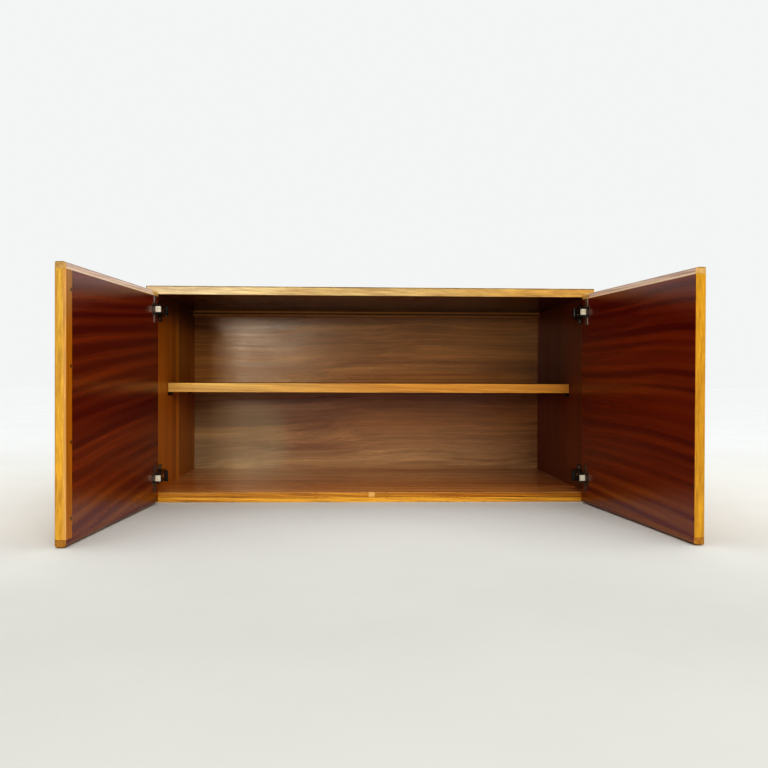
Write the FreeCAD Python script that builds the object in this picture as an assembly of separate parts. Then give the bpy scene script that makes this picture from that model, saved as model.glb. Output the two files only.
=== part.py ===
import FreeCAD, Part
import os

from FreeCAD import Rotation, Vector

# Carcass, in mm: x to the right, y to the back, z up, origin at the middle of the underside
carcass_width = 1000.0
carcass_height = 480.0
carcass_depth = 505.0
top_thickness = 19.0
bottom_thickness = 22.0
side_thickness = 18.0
lipping_depth = 8.0
lipping_round = 1.2
bottom_upper_strip = 11.0

# Back panel, held in rebates by small pins
back_thickness = 5.0
back_overlap = 8.0
back_clearance = 0.3
back_pin_radius = 0.8
back_pin_length = 18.0
back_pin_margin = 40.0
back_pins_across = 6
back_pins_up = 3

# Grooved rail under the top at the back
rail_height = 14.0
rail_depth = 18.0
rail_groove_height = 2.4
rail_groove_depth = 2.0
rail_hole_radius = 2.5
rail_hole_depth = 12.0
rail_hole_margin = 82.0
rail_screw_margin = 62.0
rail_screw_length = 24.0

# Dowels between the sides and the top and bottom boards, behind the hinge plates
dowel_radius = 4.0
dowel_length = 30.0
dowel_in_board = 12.0
dowels_per_joint = 4
dowel_margin = 20.0

# Shelf and its pins
shelf_thickness = 22.0
shelf_underside = 242.0
shelf_setback = 144.0
shelf_side_clearance = 1.0
shelf_back_clearance = 2.0
shelf_pin_radius = 2.5
shelf_pin_head_radius = 4.5
shelf_pin_head_length = 9.0
shelf_pin_depth = 10.0
shelf_pin_flat = 3.2
shelf_pin_gap = 0.1
shelf_pin_inset_front = 9.0
shelf_pin_inset_back = 90.0

# Doors
door_thickness = 20.5
door_bottom = 1.5
door_over_top = 5.0
door_gap = 1.5
door_edge_inset = 0.5
meeting_gap = 3.0
door_lipping = 12.0
door_veneer = 0.75
door_round_outer = 5.0
door_round_inner = 6.0
left_door_turn = 94.5
right_door_turn = 96.5

# Closing strip of the left door
strip_width = 24.0
strip_thickness = 5.0
strip_pin_radius = 1.3
strip_pin_length = 12.0
strip_pin_inset = 4.4
strip_pin_margin = 44.0
strip_pin_count = 4

# Hinges: places of the two pivots and the turn of the link for each degree of the door
hinge_inset = 36.0
arm_pivot_off_side = 25.5
arm_pivot_behind_front = 4.6
cup_pivot_from_edge = 9.5
cup_pivot_depth = 4.5
link_turn_ratio = 0.4255
pivot_radius = 2.0
pivot_fit = 0.05
seat_fit = 0.02
fit = 0.1

# Hinge cup, flange and nylon block, measured from the door's hinge edge and inner face
cup_start = 3.5
cup_end = 40.6
cup_depth = 13.0
cup_wall = 1.0
cup_side_gap = 0.6
cup_corner = 2.4
cup_clearance = 0.2
flange_proud = 0.8
flange_rim = 1.5
flange_rim_above = 2.6
wing_proud = 1.6
wing_start = 18.0
wing_end = 31.0
wing_half_height = 29.0
cup_screw_pitch = 44.0
cup_screw_length = 14.0
block_start = 17.9
block_end = 24.9
block_side_gap = 0.35
block_proud = 12.0
block_round = 1.5
block_collar = 1.0
block_collar_height = 2.0
block_collar_grow = 0.35

# Hinge link, a pair of bent plates outside the nylon block, with a barrel between them at the arm pivot
link_plate = 1.6
link_inside = 7.2
link_half_width = 2.2
link_knee_along = 6.45
link_knee_offset = 6.9
link_cup_eye = 3.6
link_arm_eye = 4.2

# Hinge arm, a channel whose cheeks lie outside the link, on a mounting plate
arm_plate = 1.6
arm_side_gap = 0.2
arm_eye = 4.5
arm_start = 24.0
arm_end = 60.0
arm_heel = 9.0
plate_thickness = 4.0
plate_half_height = 21.0
plate_screw_pitch = 32.0
plate_screw_length = 15.0
plate_screw_row = 36.0
arm_screw_row = 48.0
arm_screw_radius = 2.0
arm_screw_length = 5.2

# Screws and pivot pins
screw_radius = 1.75
screw_head_radius = 3.2
screw_head_height = 1.4
pivot_head_radius = 3.0
pivot_head = 0.8

# Values worked out from those above
front = -carcass_depth / 2
back = carcass_depth / 2
half_width = carcass_width / 2
inner_half = half_width - side_thickness
inner_back = back - back_thickness
inner_top = carcass_height - top_thickness
door_top = inner_top + door_over_top
door_width = (carcass_width - 2 * door_edge_inset - meeting_gap) / 2
door_edge = -half_width + door_edge_inset
door_face = front - door_gap
lipped_bottom = door_bottom + door_lipping
lipped_top = door_top - door_lipping
link_outside = link_inside + link_plate
arm_inside = link_outside + arm_side_gap
arm_outside = arm_inside + arm_plate
cup_half_height = link_outside + cup_side_gap + cup_wall
rim_half_height = cup_half_height + flange_rim_above
block_half_height = link_inside - block_side_gap - block_collar_grow
hinge_heights = (bottom_thickness + hinge_inset, inner_top - hinge_inset)
arm_pivot = Vector(-inner_half + arm_pivot_off_side, front + arm_pivot_behind_front, 0)
cup_pivot = Vector(door_edge + cup_pivot_from_edge, door_face - cup_pivot_depth, 0)
up = Vector(0, 0, 1)
right = Vector(1, 0, 0)
rear = Vector(0, 1, 0)


def block(x0, x1, y0, y1, z0, z1):
    """Box between two corners."""
    return Part.makeBox(x1 - x0, y1 - y0, z1 - z0, Vector(x0, y0, z0))


def rod(radius, start, axis, length):
    """Round bar from a point along an axis."""
    return Part.makeCylinder(radius, length, start, axis)


def cut(shape, tools):
    """Shape with every tool taken out of it."""
    return shape.cut(Part.makeCompound(tools)).Solids[0]


def rounded(shape, radius, wanted):
    """Shape with a round on each straight edge that the test accepts."""
    edges = [edge for edge in shape.Edges if wanted(edge.Vertexes[0].Point, edge.Vertexes[-1].Point)]
    return shape.makeFillet(radius, edges)


def screw(radius, length, seat, axis):
    """Flat headed screw whose head rests on the seat, with its shank along the axis."""
    shank = rod(radius, seat, axis, length)
    head = rod(screw_head_radius, seat, axis * -1, screw_head_height)
    return shank.fuse(head).removeSplitter()


def save(name, solids):
    """Write one node, a single solid or a group of separate solids."""
    shape = solids[0] if len(solids) == 1 else Part.makeCompound(solids)
    shape.exportStep("parts/" + name + ".step")


# Carcass

def spread(first, last, count):
    """Evenly spaced places from first to last."""
    step = (last - first) / (count - 1)
    return [first + step * number for number in range(count)]


def dowel_rods(radius, slack):
    """Dowels, or their holes where slack is given, at the four carcass corners."""
    rods = []
    reach = dowel_length + 2 * slack
    for sign in (-1, 1):
        x = sign * (half_width - side_thickness / 2)
        for y in spread(front + arm_end + dowel_margin, inner_back - dowel_margin, dowels_per_joint):
            low = bottom_thickness - dowel_in_board - slack
            high = inner_top + dowel_in_board - dowel_length - slack
            rods.append(rod(radius, Vector(x, y, low), up, reach))
            rods.append(rod(radius, Vector(x, y, high), up, reach))
    return rods


def back_rebate():
    """Space in the carcass boards that the back panel lies in."""
    reach = inner_half + back_overlap
    return block(-reach, reach, inner_back, back, bottom_thickness - back_overlap, inner_top + back_overlap)


def back_pin_places():
    """Start of each back panel pin, on the rear face, and the middle line of the rebate."""
    middle = back_overlap / 2
    across = spread(-inner_half + back_pin_margin, inner_half - back_pin_margin, back_pins_across)
    upright = spread(bottom_thickness + back_pin_margin, inner_top - back_pin_margin, back_pins_up)
    places = [Vector(x, back, z) for x in across for z in (bottom_thickness - middle, inner_top + middle)]
    places += [Vector(sign * (inner_half + middle), back, z) for sign in (-1, 1) for z in upright]
    return places


def back_pins(radius):
    """Pins that hold the back panel, or their holes."""
    return [rod(radius, place, rear * -1, back_pin_length) for place in back_pin_places()]


def rail_screw_seats():
    """Places under the rail where its screws go in."""
    y = inner_back - rail_depth / 2
    z = inner_top - rail_height
    reach = inner_half - rail_screw_margin
    return [Vector(x, y, z) for x in (-reach, 0, reach)]


def rail_screw_holes(length):
    """Holes for the screws that hold the rail up to the top board."""
    return [rod(screw_radius + seat_fit, seat, up, length) for seat in rail_screw_seats()]


def wall_holes():
    """Blind holes for wall screws, from the rear face through the back panel into the rail."""
    z = inner_top - rail_height / 2
    start = back + fit
    length = fit + back_thickness + rail_hole_depth
    place = inner_half - rail_hole_margin
    return [rod(rail_hole_radius, Vector(x, start, z), rear * -1, length) for x in (-place, place)]


def front_lipping(x0, x1, z0, z1):
    """Solid wood strip along a board's front edge, its front arrises eased."""
    strip = block(x0, x1, front, front + lipping_depth, z0, z1)
    along = 0 if x1 - x0 > z1 - z0 else 2

    def eased(a, b):
        return abs(a.y - front) < fit and abs(b.y - front) < fit and abs(a[along] - b[along]) > fit
    return rounded(strip, lipping_round, eased)


def make_boards():
    """Top, bottom and side boards with their front strips."""
    board_front = front + lipping_depth
    hidden = dowel_rods(dowel_radius + fit, fit) + back_pins(back_pin_radius + seat_fit) + [back_rebate()]
    rail_holes = rail_screw_holes(rail_screw_length + fit)
    top = block(-half_width, half_width, board_front, back, inner_top, carcass_height)
    save("top_panel", [cut(top, hidden + rail_holes)])
    bottom = block(-half_width, half_width, board_front, back, 0, bottom_thickness)
    save("bottom_panel", [cut(bottom, hidden)])
    save("top_front_lipping", [front_lipping(-half_width, half_width, inner_top, carcass_height)])
    seam = bottom_thickness - bottom_upper_strip
    save("bottom_lipping_lower", [front_lipping(-half_width, half_width, 0, seam)])
    save("bottom_lipping_upper", [front_lipping(-half_width, half_width, seam, bottom_thickness)])
    holes = hidden + shelf_pin_holes() + plate_screw_holes()
    for name, sign in (("left", -1), ("right", 1)):
        x0, x1 = sorted((sign * half_width, sign * inner_half))
        board = block(x0, x1, board_front, back, bottom_thickness, inner_top)
        tools = holes if sign < 0 else [mirrored(tool) for tool in holes]
        save(name + "_side_panel", [cut(board, tools)])
        save(name + "_side_lipping", [front_lipping(x0, x1, bottom_thickness, inner_top)])


def make_back():
    """Back panel with its pins, grooved rail with its screws, and the dowels."""
    reach = inner_half + back_overlap - back_clearance
    low = bottom_thickness - back_overlap + back_clearance
    high = inner_top + back_overlap - back_clearance
    panel = block(-reach, reach, inner_back, back, low, high)
    save("back_panel", [cut(panel, back_pins(back_pin_radius + seat_fit) + wall_holes())])
    save("back_panel_pins", back_pins(back_pin_radius))
    rail_front = inner_back - rail_depth
    rail = block(-inner_half, inner_half, rail_front, inner_back, inner_top - rail_height, inner_top)
    middle = inner_top - rail_height / 2
    half = rail_groove_height / 2
    groove_back = rail_front + rail_groove_depth
    groove = block(-inner_half, inner_half, rail_front, groove_back, middle - half, middle + half)
    save("back_rail", [cut(rail, [groove] + wall_holes() + rail_screw_holes(rail_screw_length))])
    save("rail_screws", [screw(screw_radius, rail_screw_length, seat, up) for seat in rail_screw_seats()])
    save("carcass_dowels", dowel_rods(dowel_radius, 0))


# Shelf

def shelf_pin_rows():
    """Distances to the back at which the pins sit."""
    shelf_front = front + shelf_setback
    return (shelf_front + shelf_pin_inset_front, inner_back - shelf_pin_inset_back)


def shelf_pin_axis():
    """Height of the pins, so that the flat on their heads lies under the shelf."""
    return shelf_underside - shelf_pin_gap - shelf_pin_flat


def shelf_pin_holes():
    """Holes for the pins in the left side board."""
    start = -inner_half - shelf_pin_depth
    z = shelf_pin_axis()
    return [rod(shelf_pin_radius + seat_fit, Vector(start - fit, y, z), right, shelf_pin_depth + 2 * fit)
            for y in shelf_pin_rows()]


def shelf_pin(y):
    """Left hand pin: a round shank in the side board and a head with a flat top."""
    z = shelf_pin_axis()
    shank = rod(shelf_pin_radius, Vector(-inner_half - shelf_pin_depth, y, z), right, shelf_pin_depth)
    head = rod(shelf_pin_head_radius, Vector(-inner_half, y, z), right, shelf_pin_head_length)
    above = block(-inner_half - fit, -inner_half + shelf_pin_head_length + fit, y - shelf_pin_head_radius,
                  y + shelf_pin_head_radius, z + shelf_pin_flat, z + 2 * shelf_pin_head_radius)
    return cut(shank.fuse(head).removeSplitter(), [above])


def make_shelf():
    """Loose shelf, its front strip and the four pins under it."""
    reach = inner_half - shelf_side_clearance
    shelf_front = front + shelf_setback
    shelf_top = shelf_underside + shelf_thickness
    seam = shelf_front + lipping_depth
    board = block(-reach, reach, seam, inner_back - shelf_back_clearance, shelf_underside, shelf_top)
    save("shelf_panel", [board])
    strip = front_lipping(-reach, reach, shelf_underside, shelf_top)
    strip.translate(Vector(0, shelf_setback, 0))
    save("shelf_front_lipping", [strip])
    pins = [shelf_pin(y) for y in shelf_pin_rows()]
    save("shelf_pins", pins + [mirrored(pin) for pin in pins])


# Doors, drawn closed on the left: along from the hinge edge, into from the inner face

def mirrored(shape):
    """The same piece for the right hand side."""
    return shape.mirror(Vector(0, 0, 0), right)


def door_block(along0, along1, into0, into1, z0, z1):
    """Box in the closed left door."""
    return block(door_edge + along0, door_edge + along1, door_face - into1, door_face - into0, z0, z1)


def door_point(along, into, z):
    """Point in the closed left door."""
    return Vector(door_edge + along, door_face - into, z)


def is_outer(point):
    """Whether a point lies on the outer face of the closed door."""
    return abs(point.y - (door_face - door_thickness)) < fit


def is_inner(point):
    """Whether a point lies on the inner face of the closed door."""
    return abs(point.y - door_face) < fit


def level_lipping(z0, z1, far):
    """Top or bottom strip across the door, with its far arrises and outer corners rounded."""
    strip = door_block(0, door_width, 0, door_thickness, z0, z1)

    def outer_arris(a, b):
        upright = abs(a.z - b.z) > fit
        lengthwise = abs(a.x - b.x) > fit and abs(a.z - far) < fit
        return is_outer(a) and is_outer(b) and (upright or lengthwise)

    def inner_arris(a, b):
        return is_inner(a) and is_inner(b) and abs(a.x - b.x) > fit and abs(a.z - far) < fit
    return rounded(rounded(strip, door_round_outer, outer_arris), door_round_inner, inner_arris)


def upright_lipping(along0, along1, edge_along):
    """Strip along the hinge edge or the meeting edge, with its outer arris rounded."""
    strip = door_block(along0, along1, door_veneer, door_thickness, lipped_bottom, lipped_top)
    edge = door_edge + edge_along

    def outer_arris(a, b):
        return is_outer(a) and is_outer(b) and abs(a.x - edge) < fit and abs(b.x - edge) < fit
    return rounded(strip, door_round_outer, outer_arris)


def cup_pockets():
    """Spaces for the hinge cups and holes for their screws."""
    tools = []
    for z in hinge_heights:
        tall = cup_half_height + cup_clearance
        tools.append(door_block(cup_start - cup_clearance, cup_end + cup_clearance, -fit,
                                cup_depth + cup_clearance, z - tall, z + tall))
    return tools + cup_screw_holes()


def cup_screw_places():
    """Seats of the cup screws on the flange wings."""
    along = (wing_start + wing_end) / 2
    return [door_point(along, -wing_proud, z + sign * cup_screw_pitch / 2)
            for z in hinge_heights for sign in (-1, 1)]


def cup_screw_holes():
    """Holes for the cup screws."""
    radius = screw_radius + seat_fit
    return [rod(radius, place, rear * -1, cup_screw_length + fit) for place in cup_screw_places()]


def strip_pin_rods(radius):
    """Pins of the closing strip, or their holes."""
    along = door_width - strip_width + strip_pin_inset
    heights = spread(door_bottom + strip_pin_margin, door_top - strip_pin_margin, strip_pin_count)
    return [rod(radius, door_point(along, 0, z), rear * -1, strip_pin_length) for z in heights]


def door_panel(with_strip):
    """Core, veneers and lippings of one door, with the closing strip if it has one."""
    strip_start = door_width - strip_width
    tools = cup_pockets()
    inner_end = door_width
    pieces = {}
    if with_strip:
        inner_end = strip_start
        strip = door_block(strip_start, door_width, 0, strip_thickness, lipped_bottom, lipped_top)
        pieces["closing_strip"] = [cut(strip, strip_pin_rods(strip_pin_radius + seat_fit))]
        pieces["strip_pins"] = strip_pin_rods(strip_pin_radius)
        tools = tools + [strip] + strip_pin_rods(strip_pin_radius + seat_fit)
    inner = door_block(0, inner_end, 0, door_veneer, lipped_bottom, lipped_top)
    core_end = door_width - door_lipping
    skin = door_thickness - door_veneer
    core = door_block(door_lipping, core_end, door_veneer, skin, lipped_bottom, lipped_top)
    outer = door_block(door_lipping, core_end, skin, door_thickness, lipped_bottom, lipped_top)
    pieces["inner_veneer"] = [cut(inner, tools)]
    pieces["core"] = [cut(core, tools)]
    pieces["outer_veneer"] = [outer]
    pieces["hinge_lipping"] = [cut(upright_lipping(0, door_lipping, 0), tools)]
    pieces["meeting_lipping"] = [cut(upright_lipping(core_end, door_width, door_width), tools)]
    pieces["top_lipping"] = [cut(level_lipping(lipped_top, door_top, door_top), tools)]
    pieces["bottom_lipping"] = [cut(level_lipping(door_bottom, lipped_bottom, door_bottom), tools)]
    return pieces


# Hinges, drawn with the left door closed

def inward_edges(shape):
    """Edges of a shape that run into the door."""
    return [edge for edge in shape.Edges if abs(edge.Vertexes[0].Y - edge.Vertexes[-1].Y) > cup_depth / 2]


def hinge_cup(z):
    """Pressed pot with a rim and two wings on the door's inner face."""
    pot = door_block(cup_start, cup_end, 0, cup_depth, z - cup_half_height, z + cup_half_height)
    pot = pot.makeFillet(cup_corner, inward_edges(pot))
    rim = door_block(cup_start - flange_rim, cup_end + flange_rim, -flange_proud, 0,
                     z - rim_half_height, z + rim_half_height)
    wings = door_block(wing_start, wing_end, -wing_proud, 0, z - wing_half_height, z + wing_half_height)
    inside = cup_half_height - cup_wall
    space = door_block(cup_start + cup_wall, cup_end - cup_wall, -2 * wing_proud, cup_depth - cup_wall,
                       z - inside, z + inside)
    space = space.makeFillet(cup_corner - cup_wall, inward_edges(space))
    pin_hole = rod(pivot_radius + seat_fit, cup_pivot + up * (z - cup_half_height), up, 2 * cup_half_height)
    shell = pot.fuse([rim, wings]).removeSplitter()
    return cut(shell, [space, pin_hole] + cup_screw_holes())


def nylon_block(z):
    """Nylon block that stands on the floor of the cup and out of its mouth."""
    floor = cup_depth - cup_wall
    tall = block_half_height
    post = door_block(block_start, block_end, -block_proud, floor, z - tall, z + tall)
    post = post.makeFillet(block_round, inward_edges(post))
    grow = block_collar_grow
    collar = door_block(block_start - grow, block_end + grow, -block_collar, block_collar_height,
                        z - tall - grow, z + tall + grow)
    return post.fuse(collar).removeSplitter()


def pivot_pin(place, reach):
    """Plain pivot pin, centred on its hinge."""
    return rod(pivot_radius, place - up * reach, up, 2 * reach)


def arm_pin(z):
    """Pivot pin of the arm with a flat head at each end."""
    pin = pivot_pin(arm_pivot + up * z, arm_outside + pivot_head)
    heads = [rod(pivot_head_radius, arm_pivot + up * (z + side), up, pivot_head)
             for side in (arm_outside, -arm_outside - pivot_head)]
    return pin.fuse(heads).removeSplitter()


def plate_prism(points, z0, thickness):
    """Flat plate with a straight sided outline."""
    corners = [Vector(point.x, point.y, z0) for point in points]
    return Part.Face(Part.makePolygon(corners + corners[:1])).extrude(up * thickness)


def bar_between(start, end, z0, thickness):
    """Flat bar with round ends between two points."""
    along = end - start
    along.normalize()
    beside = Vector(-along.y, along.x, 0) * link_half_width
    bar = plate_prism([start - beside, end - beside, end + beside, start + beside], z0, thickness)
    ends = [rod(link_half_width, Vector(point.x, point.y, z0), up, thickness) for point in (start, end)]
    return bar.fuse(ends)


def link_plate_at(z0):
    """Bent plate from the cup pivot, round the door's corner, to the arm pivot."""
    along = arm_pivot - cup_pivot
    along.normalize()
    beside = Vector(-along.y, along.x, 0)
    knee = cup_pivot + along * link_knee_along - beside * link_knee_offset
    plate = bar_between(cup_pivot, knee, z0, link_plate).fuse([
        bar_between(knee, arm_pivot, z0, link_plate),
        rod(link_cup_eye, cup_pivot + up * z0, up, link_plate),
        rod(link_arm_eye, arm_pivot + up * z0, up, link_plate),
    ]).removeSplitter()
    radius = pivot_radius + pivot_fit
    holes = [rod(radius, pivot + up * z0, up, link_plate) for pivot in (cup_pivot, arm_pivot)]
    return cut(plate, holes)


def hinge_link(z):
    """Two bent plates joined by a barrel round the arm pivot."""
    foot = arm_pivot + up * (z - link_inside)
    barrel = rod(link_arm_eye, foot, up, 2 * link_inside)
    bore = rod(pivot_radius + pivot_fit, foot, up, 2 * link_inside)
    plates = [link_plate_at(z + side) for side in (link_inside, -link_outside)]
    return cut(barrel, [bore]).fuse(plates).removeSplitter().Solids[0]


def hinge_arm(z):
    """Channel from the mounting plate to the arm pivot."""
    seat = -inner_half + plate_thickness
    outline = [Vector(seat, front + arm_start, 0), Vector(seat, front + arm_end, 0),
               Vector(seat + arm_heel, front + arm_end, 0), arm_pivot + right * arm_eye,
               arm_pivot - right * arm_eye]
    web = block(seat, seat + arm_plate, front + arm_start, front + arm_end, z - arm_outside, z + arm_outside)
    cheeks = []
    for z0 in (z + arm_inside, z - arm_outside):
        cheeks.append(plate_prism(outline, z0, arm_plate))
        cheeks.append(rod(arm_eye, arm_pivot + up * z0, up, arm_plate))
    arm = web.fuse(cheeks).removeSplitter()
    pin_hole = rod(pivot_radius + seat_fit, arm_pivot + up * (z - arm_outside), up, 2 * arm_outside)
    return cut(arm, [pin_hole] + arm_screw_holes())


def arm_screw_seats():
    """Seats of the screws that clamp the arms on their plates."""
    x = -inner_half + plate_thickness + arm_plate
    return [Vector(x, front + arm_screw_row, z) for z in hinge_heights]


def arm_screw_holes():
    """Holes for the arm screws."""
    radius = arm_screw_radius + seat_fit
    return [rod(radius, seat, right * -1, arm_screw_length + fit) for seat in arm_screw_seats()]


def plate_screw_places():
    """Seats of the mounting plate screws."""
    x = -inner_half + plate_thickness
    return [Vector(x, front + plate_screw_row, z + sign * plate_screw_pitch / 2)
            for z in hinge_heights for sign in (-1, 1)]


def plate_screw_holes():
    """Holes for the mounting plate screws."""
    radius = screw_radius + seat_fit
    return [rod(radius, place, right * -1, plate_screw_length) for place in plate_screw_places()]


def mounting_plate(z):
    """Flat plate on the side board that the arm is clamped to."""
    plate = block(-inner_half, -inner_half + plate_thickness, front + arm_start, front + arm_end,
                  z - plate_half_height, z + plate_half_height)
    return cut(plate, plate_screw_holes() + arm_screw_holes())


def carcass_hinge_parts():
    """Hinge pieces that stay on the left side board."""
    return {
        "hinge_plates": [mounting_plate(z) for z in hinge_heights],
        "plate_screws": [screw(screw_radius, plate_screw_length, place, right * -1)
                         for place in plate_screw_places()],
        "hinge_arms": [hinge_arm(z) for z in hinge_heights],
        "arm_screws": [screw(arm_screw_radius, arm_screw_length, seat, right * -1)
                       for seat in arm_screw_seats()],
        "arm_pins": [arm_pin(z) for z in hinge_heights],
    }


def door_hinge_parts():
    """Hinge pieces that swing with the left door."""
    return {
        "hinge_cups": [hinge_cup(z) for z in hinge_heights],
        "cup_screws": [screw(screw_radius, cup_screw_length, place, rear * -1)
                       for place in cup_screw_places()],
        "cup_pins": [pivot_pin(cup_pivot + up * z, cup_half_height) for z in hinge_heights],
        "hinge_blocks": [nylon_block(z) for z in hinge_heights],
    }


def link_parts():
    """Links of the left hinges."""
    return {"hinge_links": [hinge_link(z) for z in hinge_heights]}


# Doors and links stand open

def swung_link(shape, turn):
    """Link piece turned from closed to open about the arm pivot."""
    moved = shape.copy()
    moved.rotate(arm_pivot, up, turn * link_turn_ratio)
    return moved


def swung_door(shape, turn):
    """Door piece carried by its link and turned about the cup pivot from closed to open."""
    swing = Rotation(up, turn * link_turn_ratio)
    carried = arm_pivot + swing.multVec(cup_pivot - arm_pivot)
    moved = shape.copy()
    moved.rotate(cup_pivot, up, -turn)
    moved.translate(carried - cup_pivot)
    return moved


def save_all(side, pieces, place):
    """Write a group of nodes of one side, each piece put in its place."""
    for name, solids in pieces.items():
        placed = [place(solid) for solid in solids]
        save(side + "_" + name, [mirrored(solid) for solid in placed] if side == "right" else placed)


def make_side(side, turn, with_strip):
    """Door, links and hinge arms of one side."""
    panel = {"door_" + name: solids for name, solids in door_panel(with_strip).items()}
    save_all(side, panel, lambda solid: swung_door(solid, turn))
    save_all(side, door_hinge_parts(), lambda solid: swung_door(solid, turn))
    save_all(side, link_parts(), lambda solid: swung_link(solid, turn))
    save_all(side, carcass_hinge_parts(), lambda solid: solid)


def print_pivots():
    """Pivot places at rest, for the joints."""
    for side, turn, sign in (("left", left_door_turn, 1), ("right", right_door_turn, -1)):
        swing = Rotation(up, turn * link_turn_ratio)
        carried = arm_pivot + swing.multVec(cup_pivot - arm_pivot)
        print(side, "arm pivot", round(sign * arm_pivot.x, 4), round(arm_pivot.y, 4),
              "cup pivot", round(sign * carried.x, 4), round(carried.y, 4),
              "door turn", turn, "link turn", round(turn * link_turn_ratio, 4))


os.makedirs("parts", exist_ok=True)
make_boards()
make_back()
make_shelf()
make_side("left", left_door_turn, True)
make_side("right", right_door_turn, False)
print_pivots()
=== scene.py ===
"""Two door cabinet with one loose shelf: veneers, lippings, hinge metal, screw heads and studio.

Run as a script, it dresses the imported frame. The CAD boards and hinge pieces keep their shapes and get
procedural finishes, and the plain screws are replaced by screws with cross recesses.
"""
import math
from collections import namedtuple

import bmesh
import bpy
from bpy.props import FloatProperty, FloatVectorProperty, PointerProperty
from mathutils import Matrix, Vector


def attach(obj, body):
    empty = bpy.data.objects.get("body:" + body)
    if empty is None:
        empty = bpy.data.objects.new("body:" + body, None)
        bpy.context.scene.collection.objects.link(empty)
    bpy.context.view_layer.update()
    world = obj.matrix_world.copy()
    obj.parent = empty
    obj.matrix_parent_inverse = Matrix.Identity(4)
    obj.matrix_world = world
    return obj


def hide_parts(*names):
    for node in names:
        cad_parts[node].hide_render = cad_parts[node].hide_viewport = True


bl_info = {
    "name": "Two door cabinet",
    "version": (1, 0, 0),
    "blender": (4, 5, 0),
    "location": "View3D > Sidebar > Cabinet",
    "description": "Finishes and studio for a two door cabinet with a loose shelf",
    "category": "Object",
}

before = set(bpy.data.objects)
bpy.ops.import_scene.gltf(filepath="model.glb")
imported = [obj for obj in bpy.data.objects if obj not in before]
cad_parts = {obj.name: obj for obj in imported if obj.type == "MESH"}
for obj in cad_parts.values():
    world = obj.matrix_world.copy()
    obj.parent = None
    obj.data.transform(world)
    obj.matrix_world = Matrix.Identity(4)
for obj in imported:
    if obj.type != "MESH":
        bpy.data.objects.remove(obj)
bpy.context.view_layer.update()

SIDES = ("left", "right")
X, Y, Z = range(3)
QUARTER = math.pi / 2
UP = Vector((0.0, 0.0, 1.0))
DOWN = (0, 0, -1)
FORWARD = (0, -1, 0)
BACKWARD = (0, 1, 0)
LEFTWARD = (-1, 0, 0)
RIGHTWARD = (1, 0, 0)

# Where one tone of a board passes into the next, in metres along one axis of the part. Several steps are
# painted light and shade, as their names say.

FLOOR_REAR_SHEEN = (-0.10, 0.16)
LEFT_STRIPE = (-0.012, -0.007)
LEFT_STRIPE_END = (0.023, 0.029)
LEFT_SHADED_TOP = (0.385, 0.452)
RIGHT_LIGHTER = (0.0, 0.20)
BACK_LIGHTER = (-0.30, 0.10)
BACK_LOW_LIGHT = (0.20, 0.05)
TOP_EDGE_SHADE_BEGINS = (-0.45, -0.10)
TOP_EDGE_SHADE_DEEPENS = (0.0, 0.40)
BOTTOM_EDGE_SHADED = (0.0, 0.35)
SHELF_EDGE_SHADED = (-0.45, 0.15)
DOOR_INSIDE_SHEEN = (0.10, 0.02)
DOOR_EDGE_RISE = (0.10, 0.46)
DOOR_HINGE_LINE = -0.262
STRIP_TAN = (0.33, 0.45)


# Settings a user would change

def colour(name, description, default):
    """One wood, metal or plastic colour, as linear red, green and blue."""
    return FloatVectorProperty(name=name, description=description, default=default,
                               subtype="COLOR", size=3, min=0.0, max=1.0)


def length(name, description, default):
    """One length in metres."""
    return FloatProperty(name=name, description=description, default=default,
                         unit="LENGTH", subtype="DISTANCE", min=0.0, precision=5)


def coordinate(name, description, default):
    """One coordinate in metres."""
    return FloatProperty(name=name, description=description, default=default,
                         unit="LENGTH", subtype="DISTANCE", precision=5)


def angle(name, description, degrees):
    """One angle, given in degrees."""
    return FloatProperty(name=name, description=description, default=math.radians(degrees),
                         unit="ROTATION", subtype="ANGLE")


def power(name, description, default):
    """Power of one light."""
    return FloatProperty(name=name, description=description, default=default,
                         subtype="POWER", min=0.0)


def brightness(name, description, default):
    """Brightness of one part of the surroundings."""
    return FloatProperty(name=name, description=description, default=default, min=0.0)


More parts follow.
